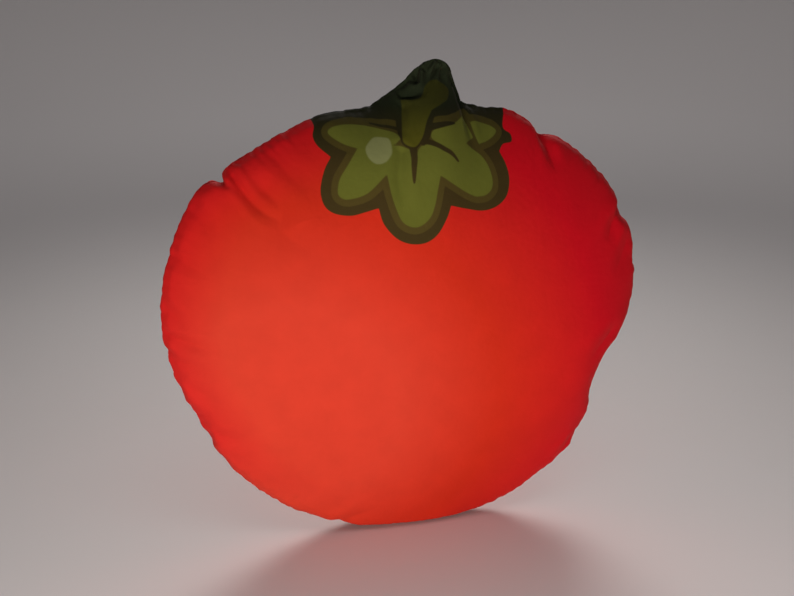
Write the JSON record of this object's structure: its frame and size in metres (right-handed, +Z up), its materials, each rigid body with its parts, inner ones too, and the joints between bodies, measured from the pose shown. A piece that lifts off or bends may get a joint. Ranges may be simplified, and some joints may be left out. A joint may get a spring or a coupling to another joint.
{
  "type": "tomato shaped throw cushion",
  "caption": "Stuffed throw cushion shaped like a tomato, with printed fabric panels sewn round the edge, a green leaf print and a padded stem at the top.",
  "frame": {"origin": "on the floor, under the middle of the cushion's bounding box, with the cushion standing on its squashed lower edge", "axes": "+Z up towards the stem, X across the tomato, the printed front faces -Y, and the seam lies in the plane y = 0"},
  "size_m": [0.3998, 0.1444, 0.3864],
  "materials": {
    "front_print": "printed woven fabric, matte, red with a green leaf and stem print",
    "back_print": "printed woven fabric, matte, red with a green leaf and stem print",
    "fibre": "loose white polyester fibre",
    "machine_thread": "spun polyester sewing thread",
    "hand_thread": "spun polyester sewing thread, hand sewn"
  },
  "bodies": {
    "root": {"front_panel": "front_print", "back_panel": "back_print", "belly_filling": "fibre", "stem_filling": "fibre", "needle_thread": "machine_thread", "bobbin_thread": "machine_thread", "closing_ladder_thread": "hand_thread"}
  },
  "joints": []
}
